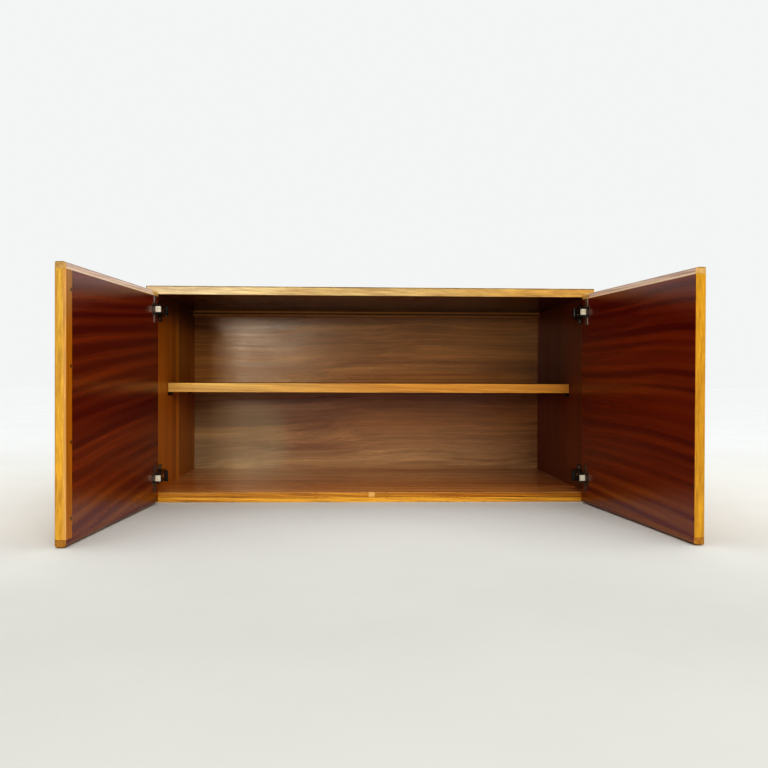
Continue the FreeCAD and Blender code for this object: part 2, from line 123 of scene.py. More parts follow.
class CabinetWoods(bpy.types.PropertyGroup):
    """Mean colours of the veneers, lippings and boards."""

    door_inside: colour("Door inside", "Red brown veneer on the door insides", (0.142, 0.0122, 0.0003))
    # Painted reflection: the lower end of the door insides is warmer and paler, for the floor seen in their
    # gloss.
    door_low_sheen: colour("Door inside low", "Warmer lower end of the door insides", (0.19, 0.033, 0.003))
    door_outside: colour("Door outside", "Golden veneer on the door fronts", (0.50, 0.25, 0.07))
    outside: colour("Carcass outside", "Golden veneer on the outside of the carcass", (0.50, 0.25, 0.07))
    left_inside: colour("Left side inside", "Golden brown veneer inside the left side", (0.54, 0.18, 0.003))
    left_stripe: colour("Left side stripe", "Light stripe inside the left side", (0.7, 0.29, 0.008))
    # Painted shade: the upper end inside the left side is darkened where shade falls under the top.
    left_top_shade: colour("Left side top", "Dark stained upper end inside the left side", (0.13, 0.030, 0.001))
    left_rear: colour("Left side rear", "Olive rear half inside the left side", (0.44, 0.155, 0.0025))
    right_inside: colour("Right side inside", "Dark brown veneer inside the right side",
                         (0.195, 0.036, 0.0012))
    right_rear: colour("Right side rear", "Lighter rear half inside the right side", (0.26, 0.05, 0.0014))
    top_inside: colour("Top inside", "Dark brown veneer under the top", (0.066, 0.009, 0.0008))
    floor: colour("Floor and shelf", "Brown veneer of the bottom board and shelf", (0.57, 0.245, 0.070))
    # Painted sheen: the rear half of the bottom board is paler and greyer, for its reflection of the back
    # panel.
    floor_rear_sheen: colour("Floor rear", "Dusty rear half of the bottom board", (0.72, 0.46, 0.22))
    back: colour("Back", "Brown veneer of the back panel", (0.39, 0.18, 0.052))
    back_right: colour("Back right", "Lighter right half of the back panel", (0.43, 0.205, 0.063))
    # Painted light: the lower end of the back panel is paler and greyer, for bounce light and sheen from
    # below.
    back_low_light: colour("Back low", "Dusty lower end of the back panel", (0.46, 0.275, 0.142))
    # Painted sheen: a soft grey place low on the left of the back panel.
    back_sheen: colour("Back bloom", "Greyed place low on the left of the back panel", (0.57, 0.58, 0.37))
    back_rear: colour("Back rear", "Bare rear face of the back panel", (0.36, 0.22, 0.12))
    rail: colour("Rail", "Brown wood of the grooved rail", (0.66, 0.28, 0.050))
    top_edge: colour("Top lipping", "Cream lipping along the top", (0.76, 0.60, 0.36))
    # Painted shade: the top lipping is darkened and turned more yellow from the middle to the right end.
    top_edge_middle_shade: colour("Top lipping middle", "Straw middle of the top lipping", (0.61, 0.43, 0.19))
    top_edge_right_shade: colour("Top lipping right", "Golden right end of the top lipping", (0.59, 0.345, 0.10))
    shelf_edge: colour("Shelf lipping", "Golden lipping along the shelf", (0.75, 0.48, 0.15))
    # Painted shade: the right end of the shelf lipping is darkened and redder.
    shelf_edge_right_shade: colour("Shelf lipping right", "Orange right end of the shelf lipping",
                             (0.64, 0.305, 0.055))
    bottom_upper: colour("Bottom upper strip", "Orange strip of the bottom edge", (0.51, 0.23, 0.029))
    bottom_lower: colour("Bottom lower strip", "Golden strip of the bottom edge", (0.70, 0.37, 0.053))
    # Painted shade: the right ends of both bottom strips are darkened.
    bottom_right_shade: colour("Bottom upper strip right", "Darker right end of the upper strip",
                         (0.40, 0.165, 0.016))
    bottom_lower_right_shade: colour("Bottom lower strip right", "Darker right end of the lower strip",
                               (0.57, 0.28, 0.036))
    bottom_patch: colour("Bottom patch", "Rubbed place in the middle of the bottom edge",
                         (0.82, 0.52, 0.20))
    side_edge: colour("Side lipping", "Golden lipping along the sides", (0.55, 0.26, 0.045))
    door_edge: colour("Door lipping", "Golden lipping around the doors", (0.48, 0.245, 0.021))
    door_edge_top: colour("Door lipping top", "Upper end of the door lippings", (0.54, 0.285, 0.022))
    left_edge: colour("Left door lipping", "Golden upright lippings of the left door", (0.60, 0.325, 0.040))
    left_edge_top: colour("Left door lipping top", "Upper end of the left door's upright lippings",
                          (0.53, 0.305, 0.055))
    door_top: colour("Door top lipping", "Pinkish inner face of the lipping on top", (0.66, 0.47, 0.37))
    door_top_end: colour("Top lipping end", "Pale end of the lipping on top", (0.50, 0.31, 0.118))
    # Painted shade: the inner face of the lipping below is darkened to the veneer's tone, where it lies in
    # shade.
    door_foot_shade: colour("Door bottom lipping", "Stained inner face of the lipping below", (0.19, 0.040, 0.010))
    door_foot_end: colour("Bottom lipping end", "Brown end of the lipping below", (0.345, 0.158, 0.020))
    strip: colour("Closing strip", "Orange brown strip on the left door", (0.46, 0.160, 0.0018))
    strip_top: colour("Closing strip top", "Tan upper end of the closing strip", (0.43, 0.20, 0.045))
    strip_front: colour("Closing strip front", "Tan front edge of the closing strip", (0.58, 0.32, 0.105))
    core: colour("Core", "Pressed chips inside the doors and boards", (0.48, 0.34, 0.19))
    dowel: colour("Dowel", "Beech of the dowels", (0.58, 0.41, 0.24))
    # Also the colour of painted shade in the rail groove and along the shaded top arris of the doors.
    stain_and_shade: colour("Stain", "Dark dirt in joints, chips and pin holes", (0.035, 0.014, 0.005))
    bare: colour("Bare arris", "Pale wood of rubbed arrises", (0.86, 0.66, 0.48))


class CabinetMetals(bpy.types.PropertyGroup):
    """Colours of the hinges and screws, and the shape of the screw heads."""

    black: colour("Black", "Black enamel of arms, links and pins", (0.012, 0.011, 0.011))
    bronze: colour("Bronze", "Dark bronze of the hinge cups", (0.115, 0.080, 0.055))
    # Painted highlight along the front edges of the hinge flanges.
    flange_edge_highlight: colour("Flange edge", "Bare edge of the hinge flanges", (0.50, 0.41, 0.37))
    steel: colour("Steel", "Plated steel of screws and pins", (0.56, 0.55, 0.52))
    nylon: colour("Nylon", "Ivory nylon of the hinge blocks", (0.86, 0.81, 0.68))
    # Painted shade where the hinge blocks are seated on the doors.
    nylon_seat_shade: colour("Nylon seat", "Grey grime where the hinge blocks are seated", (0.21, 0.150, 0.125))
    dome: length("Dome", "Height of the rounded top of a screw head", 0.0006)
    recess_depth: length("Recess depth", "Depth of the cross recess", 0.0009)
    recess_width: length("Recess width", "Width of one arm of the cross recess", 0.0009)
    recess_reach: length("Recess reach", "Reach of the cross recess from the middle", 0.0017)


class CabinetStudio(bpy.types.PropertyGroup):
    """Floor, light and camera."""

    floor_tone: colour("Floor", "Pale studio floor", (0.525, 0.522, 0.493))
    # Painted light: the floor is paler around the cabinet, against the shade of the cabinet and doors.
    floor_near_lit: colour("Near floor", "Paler floor around the cabinet", (0.70, 0.697, 0.665))
    floor_far: colour("Far floor", "Paler floor far from the cabinet", (0.735, 0.74, 0.735))
    floor_reach: length("Floor reach", "Distance from the middle to each edge of the floor", 20.0)
    air_tone: colour("Surroundings", "Pale tone of the surroundings", (0.99, 1.0, 1.0))
    air_seen: brightness("Background", "Brightness of the background as seen", 0.645)
    air_behind: brightness("Light behind", "Brightness of the surroundings behind the cabinet", 0.62)
    air_front: brightness("Light in front", "Brightness of the surroundings in front of the cabinet", 0.14)
    air_above: brightness("Light above", "Brightness of the surroundings overhead", 1.10)
    key_power: power("Key", "Large soft light in front, to the right", 56.0)
    key_tone: colour("Key tone", "Colour of the light in front, to the right", (1.0, 1.0, 1.0))
    window_power: power("Window", "Soft light in front, to the left", 19.0)
    window_tone: colour("Window tone", "Colour of the light in front, to the left", (1.0, 0.92, 0.76))
    camera_x: coordinate("Camera X", "Camera to the right of the middle", -0.0507)
    camera_y: coordinate("Camera Y", "Camera behind the origin, negative in front", -2.1892)
    camera_z: coordinate("Camera Z", "Camera above the floor", 0.2814)
    camera_turn: angle("Camera turn", "Turn to the left", -2.288)
    camera_dip: angle("Camera dip", "Tilt down", 0.511)
    camera_roll: angle("Camera roll", "Roll", 0.209)
    camera_lens: FloatProperty(name="Lens", description="Focal length on a 36 mm sensor", default=40.65,
                               min=1.0, unit="CAMERA")


def woods():
    """The wood settings of this scene."""
    return bpy.context.scene.cabinet_woods


def metals():
    """The metal settings of this scene."""
    return bpy.context.scene.cabinet_metals


# Node building

class Nodes:
    """Adds nodes to one tree and joins them."""

    def __init__(self, tree):
        self.tree = tree

    def add(self, kind, **settings):
        """One shader node with its settings."""
        node = self.tree.nodes.new("ShaderNode" + kind)
        for name, value in settings.items():
            setattr(node, name, value)
        return node

    def feed(self, socket, value):
        """Links a socket, or sets its value."""
        if isinstance(value, bpy.types.NodeSocket):
            self.tree.links.new(value, socket)
        elif socket.type == "RGBA" and len(value) == 3:
            socket.default_value = (*value, 1.0)
        else:
            socket.default_value = value

    def math(self, operation, first, second=0.0):
        """One sum of two numbers."""
        node = self.add("Math", operation=operation)
        self.feed(node.inputs[0], first)
        self.feed(node.inputs[1], second)
        return node.outputs[0]

    def plus(self, first, second):
        """Two numbers added."""
        return self.math("ADD", first, second)

    def minus(self, first, second):
        """The second number taken from the first."""
        return self.math("SUBTRACT", first, second)

    def times(self, first, second):
        """Two numbers multiplied."""
        return self.math("MULTIPLY", first, second)

    def vector(self, operation, first, second=(0.0, 0.0, 0.0)):
        """One sum of two vectors."""
        node = self.add("VectorMath", operation=operation)
        self.feed(node.inputs[0], first)
        self.feed(node.inputs[1], second)
        return node.outputs["Value" if operation in ("DOT_PRODUCT", "LENGTH") else "Vector"]

    def scaled(self, vector, factor):
        """A vector or colour times a number."""
        node = self.add("VectorMath", operation="SCALE")
        self.feed(node.inputs[0], vector)
        self.feed(node.inputs["Scale"], factor)
        return node.outputs["Vector"]

    def parts(self, vector):
        """X, Y and Z of a vector."""
        node = self.add("SeparateXYZ")
        self.feed(node.inputs[0], vector)
        return list(node.outputs)

    def joined(self, x, y, z):
        """A vector from three numbers."""
        node = self.add("CombineXYZ")
        for socket, value in zip(node.inputs, (x, y, z)):
            self.feed(socket, value)
        return node.outputs[0]

    def noise(self, vector, scale, detail=2.0, roughness=0.5):
        """Noise with its own count of grains per metre along each axis."""
        node = self.add("TexNoise")
        self.feed(node.inputs["Vector"], self.vector("MULTIPLY", vector, scale))
        node.inputs["Scale"].default_value = 1.0
        node.inputs["Detail"].default_value = detail
        node.inputs["Roughness"].default_value = roughness
        return node.outputs["Fac"]

    def centred(self, noise):
        """Noise brought down to vary about zero."""
        return self.minus(noise, 0.5)

    def span(self, value, low, high, start=0.0, end=1.0):
        """Smooth step from start to end while the value goes from low to high."""
        node = self.add("MapRange", interpolation_type="SMOOTHSTEP")
        for socket, given in zip(node.inputs, (value, low, high, start, end)):
            self.feed(socket, given)
        return node.outputs["Result"]

    def mix(self, factor, first, second):
        """A blend of two colours."""
        node = self.add("Mix", data_type="RGBA")
        wanted = {"Factor_Float": factor, "A_Color": first, "B_Color": second}
        for socket in node.inputs:
            if socket.identifier in wanted:
                self.feed(socket, wanted[socket.identifier])
        return next(socket for socket in node.outputs if socket.identifier == "Result_Color")

    def blend(self, factor, first, second):
        """A blend of two numbers."""
        return self.plus(first, self.times(self.minus(second, first), factor))


def even(count):
    """The same count of grains per metre along every axis."""
    return (count, count, count)


def node_group(name, inputs, outputs, fill):
    """A shader node group, made once and shared."""
    if name in bpy.data.node_groups:
        return bpy.data.node_groups[name]
    tree = bpy.data.node_groups.new(name, "ShaderNodeTree")
    for direction, sockets in (("INPUT", inputs), ("OUTPUT", outputs)):
        for label, kind in sockets:
            tree.interface.new_socket(name=label, in_out=direction, socket_type="NodeSocket" + kind)
    start = tree.nodes.new("NodeGroupInput")
    end = tree.nodes.new("NodeGroupOutput")
    nodes = Nodes(tree)
    results = fill(nodes, {socket.name: socket for socket in start.outputs if socket.name})
    for label, socket in results.items():
        tree.links.new(socket, end.inputs[label])
    return tree


# Wood figure: grains per metre along and across the board, and the weight of each feature

SWAY_GRAIN = (1.7, 3.6, 3.6)
FIBRE_GRAIN = (16.0, 520.0, 520.0)
PORE_GRAIN = (70.0, 1900.0, 1900.0)
SMEAR_GRAIN = (7.0, 9.0, 9.0)
DRIFT_GRAIN = (0.5, 13.0, 13.0)
RIPPLE_GRAIN = (2.4, 16.0, 16.0)
THIN_LINES = (1.6, 3.4, 3.4)
BROAD_BANDS = 0.28
FINE_SHARE, BROAD_SHARE = 0.6, 0.4
DARK_END, MIDDLE, LIGHT_END = 0.36, 0.50, 0.64
FIBRE_WEIGHT, PORE_WEIGHT, LINE_WEIGHT = 2.2, 0.55, 3.4
FIBRE_DULLS, SMEAR_DULLS, LINE_DULLS = 0.22, 0.16, 0.14
RIPPLE_PITCH, RIPPLE_DRIFT, RIPPLE_FLOOR = 4.2, 11.0, 0.4
PORE_STEP, RIPPLE_STEP = (0.60, 0.72), (0.32, 0.60)
WORN_STEP, CHIP_STEP = (0.40, 0.62), (0.60, 0.68)

FIGURE_NUMBERS = ("Bands", "Run", "Sway", "Slope", "Fan", "Bow", "Ripple", "Fibre", "Roughness")


def fill_figure(nodes, given):
    """Bands, fibres and pores along X, leaning, fanned, bowed and waved across."""
    x, y, z = nodes.parts(given["Vector"])
    lean = nodes.plus(given["Slope"], nodes.times(given["Fan"], z))
    lean = nodes.plus(lean, nodes.times(given["Bow"], x))
    fanned = nodes.plus(z, nodes.times(x, lean))
    straight = nodes.vector("ADD", nodes.joined(x, y, fanned), given["Shift"])
    sway = nodes.times(nodes.centred(nodes.noise(straight, SWAY_GRAIN, 1.0)), given["Sway"])
    waved = nodes.vector("ADD", straight, nodes.joined(0.0, sway, sway))
    pitch = nodes.joined(given["Run"], given["Bands"], given["Bands"])
    fine = nodes.noise(waved, pitch, 3.0)
    broad = nodes.noise(waved, nodes.scaled(pitch, BROAD_BANDS))
    tone = nodes.plus(nodes.times(fine, FINE_SHARE), nodes.times(broad, BROAD_SHARE))
    rippled = ripples(nodes, straight, waved, given["Bands"])
    tone = nodes.plus(tone, nodes.times(rippled, given["Ripple"]))
    shade = nodes.mix(nodes.span(tone, DARK_END, MIDDLE), given["Dark"], given["Mid"])
    shade = nodes.mix(nodes.span(tone, MIDDLE, LIGHT_END), shade, given["Light"])
    fibre = nodes.noise(waved, FIBRE_GRAIN, 3.0, 0.6)
    pore = nodes.span(nodes.noise(waved, PORE_GRAIN, 1.0), *PORE_STEP)
    lift = nodes.times(nodes.centred(fibre), given["Fibre"])
    dip = nodes.times(nodes.times(pore, given["Fibre"]), PORE_WEIGHT)
    thin = nodes.noise(waved, nodes.vector("MULTIPLY", pitch, THIN_LINES))
    line = nodes.times(nodes.centred(thin), nodes.times(given["Fibre"], LINE_WEIGHT))
    level = nodes.minus(nodes.plus(nodes.times(lift, FIBRE_WEIGHT), 1.0), dip)
    level = nodes.plus(level, line)
    smear = nodes.centred(nodes.noise(straight, SMEAR_GRAIN, 3.0, 0.55))
    rough = nodes.plus(given["Roughness"], nodes.times(lift, FIBRE_DULLS))
    rough = nodes.plus(rough, nodes.times(smear, SMEAR_DULLS))
    rough = nodes.plus(rough, nodes.times(line, LINE_DULLS))
    return {"Color": nodes.scaled(shade, level), "Roughness": rough, "Height": fibre}


def ripples(nodes, straight, waved, bands):
    """Soft parallel bands across the grain that come and go."""
    across = nodes.vector("DOT_PRODUCT", waved, (0.0, 1.0, 1.0))
    drift = nodes.times(nodes.centred(nodes.noise(straight, DRIFT_GRAIN)), RIPPLE_DRIFT)
    phase = nodes.plus(nodes.times(nodes.times(across, bands), RIPPLE_PITCH), drift)
    present = nodes.span(nodes.noise(straight, RIPPLE_GRAIN), *RIPPLE_STEP, RIPPLE_FLOOR)
    return nodes.times(nodes.math("SINE", phase), present)


def figure_group():
    """The shared wood figure."""
    inputs = [("Vector", "Vector"), ("Dark", "Color"), ("Mid", "Color"), ("Light", "Color")]
    inputs += [(label, "Float") for label in FIGURE_NUMBERS]
    inputs += [("Shift", "Vector")]
    outputs = [("Color", "Color"), ("Roughness", "Float"), ("Height", "Float")]
    return node_group("Wood figure", inputs, outputs, fill_figure)


def fill_arris(nodes, given):
    """Distance to the nearest edge of a block, and worn and chipped stretches along those edges."""
    inside = nodes.vector("SUBTRACT", nodes.vector("ABSOLUTE", given["Vector"]), given["Half"])
    x, y, z = nodes.parts(inside)
    most = nodes.math("MAXIMUM", nodes.math("MAXIMUM", x, y), z)
    least = nodes.math("MINIMUM", nodes.math("MINIMUM", x, y), z)
    total = nodes.plus(nodes.plus(x, y), z)
    middle = nodes.minus(nodes.minus(total, most), least)
    depth = nodes.times(middle, -1.0)
    ragged = nodes.centred(nodes.noise(given["Vector"], even(260.0), 3.0, 0.6))
    edge = nodes.plus(depth, nodes.times(ragged, given["Width"]))
    near = nodes.span(edge, 0.0, given["Width"], 1.0, 0.0)
    stretch = nodes.span(nodes.noise(given["Vector"], even(14.0), 3.0), *WORN_STEP)
    chip = nodes.span(nodes.noise(given["Vector"], even(95.0)), *CHIP_STEP)
    return {"Worn": nodes.times(near, stretch), "Chipped": nodes.times(near, chip)}


def arris_group():
    """The shared wear along edges."""
    inputs = [("Vector", "Vector"), ("Half", "Vector"), ("Width", "Float")]
    outputs = [("Worn", "Float"), ("Chipped", "Float")]
    return node_group("Arris wear", inputs, outputs, fill_arris)


# Places of the boards

def node_points(name):
    """Corners of one CAD node's mesh, in the part frame."""
    return [vertex.co.copy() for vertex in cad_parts[name].data.vertices]


def box_of(points):
    """Lowest and highest corner of a set of points."""
    low = Vector([min(point[axis] for point in points) for axis in (X, Y, Z)])
    high = Vector([max(point[axis] for point in points) for axis in (X, Y, Z)])
    return low, high


def door_turn(side):
    """Rotation that lays an open door along X, from its hinge edge to its free edge."""
    points = sorted(node_points(f"{side}_door_outer_veneer"), key=lambda point: point.y)
    half = len(points) // 2
    run = sum(points[:half], Vector()) - sum(points[half:], Vector())
    return Matrix.Rotation(-math.atan2(run.y, run.x), 3, "Z")


def door_inward(side):
    """Direction that the inside of an open door looks."""
    inner = board_place(f"{side}_door_inner_veneer", side=side)
    outer = board_place(f"{side}_door_outer_veneer", side=side)
    step = Vector((0.0, math.copysign(1.0, inner.centre.y - outer.centre.y), 0.0))
    return (inner.turn.inverted() @ step).normalized()


def grain_turn(axis):
    """Rotation that lays a part axis along X, where the figure runs."""
    turns = {"X": Matrix.Identity(3), "Z": Matrix.Rotation(QUARTER, 3, "Y")}
    return turns[axis]


Place = namedtuple("Place", "turn centre half")


def board_place(name, grain="X", side=None):
    """How a board's own coordinates lie: turned along its grain and centred, with its half sizes."""
    turn = grain_turn(grain)
    if side:
        turn = turn @ door_turn(side)
    low, high = box_of([turn @ point for point in node_points(name)])
    return Place(turn, (low + high) / 2, (high - low) / 2)


# Finishes

PLAIN_WARMTH = 1.35
Figure = namedtuple("Figure", "contrast bands run sway slope fan ripple fibre roughness warmth bow",
                    defaults=(PLAIN_WARMTH, 0.0))

DOOR_FIGURE = Figure(0.33, 58.0, 0.7, 0.024, 0.03, -0.14, 0.095, 0.13, 0.23, 2.8, 0.09)
BACK_FIGURE = Figure(0.32, 34.0, 0.8, 0.090, 0.0, 0.06, 0.02, 0.27, 0.26)
FLOOR_FIGURE = Figure(0.28, 80.0, 1.2, 0.018, 0.02, 0.0, 0.03, 0.28, 0.24)
SIDE_FIGURE = Figure(0.26, 95.0, 1.2, 0.012, 0.02, 0.0, 0.02, 0.20, 0.36)
OUTER_FIGURE = Figure(0.24, 80.0, 1.2, 0.022, 0.0, 0.05, 0.02, 0.20, 0.54)
LIPPING_FIGURE = Figure(0.18, 240.0, 4.0, 0.006, 0.03, 0.0, 0.0, 0.24, 0.40)
EDGE_FIGURE = Figure(0.16, 110.0, 5.0, 0.012, 0.10, 0.0, 0.0, 0.22, 0.40)
BOTTOM_FIGURE = Figure(0.30, 260.0, 5.0, 0.010, 0.03, 0.0, 0.0, 0.40, 0.36)
FLECK_FIGURE = Figure(0.18, 190.0, 18.0, 0.020, 0.05, 0.0, 0.0, 0.26, 0.40)
RAW_FIGURE = Figure(0.16, 150.0, 3.0, 0.02, 0.0, 0.0, 0.0, 0.36, 0.70)

DoorGrain = namedtuple("DoorGrain", "seed slope ripple")
DOOR_GRAINS = {"left": DoorGrain(61, 0.075, 0.11), "right": DoorGrain(53, 0.03, 0.085)}

SEED_STEPS = (1.37, 0.73, 1.91)
FACING_STEP = (0.4, 0.7)
WORN_WIDTH, WORN_CONTRAST = 0.0016, 0.4
SHARP_PART = 0.6
BUMP_STRENGTH = 0.35
PLAIN_GLOSS, DULL_GLOSS = 0.35, 0.2
PLAIN_BUMP, SMOOTH_BUMP, OPEN_BUMP = 0.00006, 0.00003, 0.00016
METAL_BUMP, NYLON_BUMP, FLOOR_BUMP = 0.00004, 0.00005, 0.0004


def shades(mean, contrast, warmth=PLAIN_WARMTH):
    """Dark, middle and light tones of one wood. The dark is redder and the light yellower."""
    reach = (contrast, contrast * warmth, contrast * warmth)
    dark = [channel * (1 - step) for channel, step in zip(mean, reach)]
    light = [channel * (1 + step) for channel, step in zip(mean, reach)]
    return [[min(max(channel, 0.0), 1.0) for channel in tone] for tone in (dark, mean, light)]


def shift_of(seed):
    """A place of its own in the figure for each board."""
    return [seed * step for step in SEED_STEPS]


def new_material(name):
    """An empty node material, its node builder and its shader."""
    material = bpy.data.materials.new(name)
    material.use_nodes = True
    nodes = Nodes(material.node_tree)
    return material, nodes, material.node_tree.nodes["Principled BSDF"]


def board_coordinates(nodes, place):
    """Object coordinates, plain and turned along the grain and centred on the board, and the normal."""
    source = nodes.add("TexCoord")
    mapping = nodes.add("Mapping", vector_type="POINT")
    nodes.feed(mapping.inputs["Vector"], source.outputs["Object"])
    mapping.inputs["Rotation"].default_value = place.turn.to_euler("XYZ")
    mapping.inputs["Location"].default_value = -place.centre
    return source.outputs["Object"], mapping.outputs["Vector"], source.outputs["Normal"]


def wood_figure(nodes, vector, mean, figure, seed):
    """One use of the shared wood figure."""
    group = nodes.add("Group", node_tree=figure_group())
    dark, middle, light = shades(mean, figure.contrast, figure.warmth)
    values = {"Vector": vector, "Dark": dark, "Mid": middle, "Light": light, "Shift": shift_of(seed)}
    values.update({label: getattr(figure, label.lower()) for label in FIGURE_NUMBERS})
    for label, value in values.items():
        nodes.feed(group.inputs[label], value)
    return group.outputs["Color"], group.outputs["Roughness"], group.outputs["Height"]


def facing(nodes, normal, direction):
    """1 on faces that look along a direction of the part, else 0."""
    return nodes.span(nodes.vector("DOT_PRODUCT", normal, direction), *FACING_STEP)


def worn_edges(nodes, vector, half, tone, bare, wear, chips):
    """Lightens worn arrises and darkens chipped ones."""
    group = nodes.add("Group", node_tree=arris_group())
    nodes.feed(group.inputs["Vector"], vector)
    nodes.feed(group.inputs["Half"], half)
    nodes.feed(group.inputs["Width"], WORN_WIDTH)
    worn = nodes.mix(nodes.times(group.outputs["Worn"], wear), tone, bare)
    return nodes.mix(nodes.times(group.outputs["Chipped"], chips), worn, woods().stain_and_shade)


Face = namedtuple("Face", "direction mean figure turned", defaults=(False,))
Fade = namedtuple("Fade", "axis low high mean")
Line = namedtuple("Line", "axis at width tone amount direction", defaults=(None,))
Spot = namedtuple("Spot", "centre radius tone amount direction", defaults=(None,))


def dirt_and_shade(axis, at, width, amount, direction=FORWARD):
    """A dark line, on the front faces if no others are named: dirty joints, and painted shade in grooves and
    along shaded arrises.
    """
    return Line(axis, at, width, woods().stain_and_shade, amount, direction)


def drawn_fade(nodes, point, tone, fade, mean):
    """A change to another mean colour along one axis of the part."""
    there = nodes.span(nodes.parts(point)[fade.axis], fade.low, fade.high)
    ratio = [other / own for other, own in zip(fade.mean, mean)]
    gain = nodes.vector("ADD", (1.0, 1.0, 1.0), nodes.scaled([value - 1.0 for value in ratio], there))
    return nodes.vector("MULTIPLY", tone, gain)


def drawn_mark(nodes, away, normal, tone, mark, reach):
    """The tone of a line or spot laid over another, on all faces or those that look one way."""
    there = nodes.span(away, reach * SHARP_PART, reach, mark.amount, 0.0)
    if mark.direction:
        there = nodes.times(there, facing(nodes, normal, mark.direction))
    return nodes.mix(there, tone, mark.tone)


def drawn_line(nodes, point, normal, tone, line):
    """A ragged line or band across one axis of the part."""
    value = nodes.parts(point)[line.axis]
    ragged = nodes.centred(nodes.noise(point, even(140.0), 3.0, 0.6))
    value = nodes.plus(value, nodes.times(ragged, line.width))
    away = nodes.math("ABSOLUTE", nodes.minus(value, line.at))
    return drawn_mark(nodes, away, normal, tone, line, line.width)


def drawn_spot(nodes, point, normal, tone, spot):
    """A round mark, used for pin-hole stains and for a painted sheen."""
    away = nodes.vector("LENGTH", nodes.vector("SUBTRACT", point, spot.centre))
    return drawn_mark(nodes, away, normal, tone, spot, spot.radius)


def finish_surface(nodes, shader, tone, rough, height, depth):
    """Joins colour, roughness and bump to the shader."""
    bump = nodes.add("Bump")
    bump.inputs["Strength"].default_value = BUMP_STRENGTH
    bump.inputs["Distance"].default_value = depth
    nodes.feed(bump.inputs["Height"], height)
    nodes.feed(shader.inputs["Base Color"], tone)
    nodes.feed(shader.inputs["Roughness"], rough)
    nodes.feed(shader.inputs["Normal"], bump.outputs["Normal"])


def across_grain(nodes, vector):
    """Board coordinates turned level by a quarter, for strips across the ends of a board."""
    x, y, z = nodes.parts(vector)
    return nodes.joined(y, x, z)


def wood_material(name, place, mean, figure, seed, faces=(), fades=(), lines=(), spots=(),
                  wear=0.4, chips=0.0, gloss=PLAIN_GLOSS, depth=PLAIN_BUMP):
    """A board of one wood, with other veneers on the faces that look along given directions."""
    material, nodes, shader = new_material(name)
    point, vector, normal = board_coordinates(nodes, place)
    tone, rough, height = wood_figure(nodes, vector, mean, figure, seed)
    own = mean
    for fade in fades:
        tone = drawn_fade(nodes, point, tone, fade, own)
        own = fade.mean
    for count, face in enumerate(faces, 1):
        there = facing(nodes, normal, face.direction)
        laid = across_grain(nodes, vector) if face.turned else vector
        other, other_rough, other_height = wood_figure(nodes, laid, face.mean, face.figure, seed + count)
        tone = nodes.mix(there, tone, other)
        rough = nodes.blend(there, rough, other_rough)
        height = nodes.blend(there, height, other_height)
    for line in lines:
        tone = drawn_line(nodes, point, normal, tone, line)
    for spot in spots:
        tone = drawn_spot(nodes, point, normal, tone, spot)
    bare = shades(mean, WORN_CONTRAST)[2]
    tone = worn_edges(nodes, vector, place.half, tone, bare, wear, chips)
    finish_surface(nodes, shader, tone, rough, height, depth)
    shader.inputs["Specular IOR Level"].default_value = gloss
    return material


def paint(name, material):
    """Gives a CAD node its finish."""
    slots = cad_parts[name].data.materials
    for index in range(len(slots)):
        slots[index] = material


def coat_board(name, mean, figure, seed, grain="X", side=None, **options):
    """Finishes one CAD board with its own wood material."""
    place = board_place(name, grain, side)
    paint(name, wood_material(name, place, mean, figure, seed, **options))


# Metal and nylon

CUP_HALF, WING_START = 0.0125, 0.0135
LEVEL_BLUR = 0.05
DULL_EDGE = 0.12
RUBBED_STEP, YELLOWED_STEP = (0.52, 0.72), (0.45, 0.75)
RUBBED_GAIN, RUBBED_LIFT, RUBBED_MOST = 2.2, 0.01, 0.9
SPECK_SPAN, SPECK_LEAST, METAL_UNEVEN = 0.5, 0.75, 0.25
NYLON_ROUGHNESS, NYLON_UNEVEN = 0.34, 0.22
SEAT_TOP, SEAT_BLUR_END = 0.0108, 0.0095
YELLOWED = (0.80, 0.68, 0.48)
NYLON_GLOW, NYLON_GLOW_REACH = 0.15, 0.002


def lit_wing_edges(nodes, point, normal):
    """Painted highlight mask: 1 on the front edges of the upper hinge flanges beyond the cups, and a little
    on the lower ones, which lie in shade.
    """
    heights = sorted(corner.z for corner in node_points("left_hinge_cups"))
    middle = (heights[0] + heights[-1]) / 2
    upper = [height for height in heights if height > middle]
    level = nodes.parts(point)[Z]
    away = nodes.math("ABSOLUTE", nodes.minus(level, (upper[0] + upper[-1]) / 2))
    wing = nodes.span(away, CUP_HALF, WING_START, DULL_EDGE, 1.0)
    lower = nodes.span(level, middle - LEVEL_BLUR, middle + LEVEL_BLUR, DULL_EDGE, 1.0)
    front = facing(nodes, normal, FORWARD)
    return nodes.times(front, nodes.times(wing, lower))


def metal_material(name, tone, metallic, roughness, scuff=0.35, edge=None):
    """Plated or enamelled metal with specks, rubbed places and uneven gloss, some with painted highlights on
    their edges.
    """
    material, nodes, shader = new_material(name)
    source = nodes.add("TexCoord")
    point = source.outputs["Object"]
    speck = nodes.noise(point, even(900.0), 3.0, 0.6)
    cloud = nodes.noise(point, even(60.0), 3.0, 0.55)
    rubbed = nodes.span(cloud, *RUBBED_STEP)
    pale = [min(channel * RUBBED_GAIN + RUBBED_LIFT, RUBBED_MOST) for channel in tone]
    level = nodes.plus(nodes.times(speck, SPECK_SPAN), SPECK_LEAST)
    shade = nodes.scaled(nodes.mix(nodes.times(rubbed, scuff), tone, pale), level)
    # Painted highlight: bright on the upper flange edges, dim on the lower ones in shade.
    if edge:
        shade = nodes.mix(lit_wing_edges(nodes, point, source.outputs["Normal"]), shade, edge)
    rough = nodes.plus(roughness, nodes.times(nodes.centred(cloud), METAL_UNEVEN))
    finish_surface(nodes, shader, shade, rough, speck, METAL_BUMP)
    shader.inputs["Metallic"].default_value = metallic
    return material


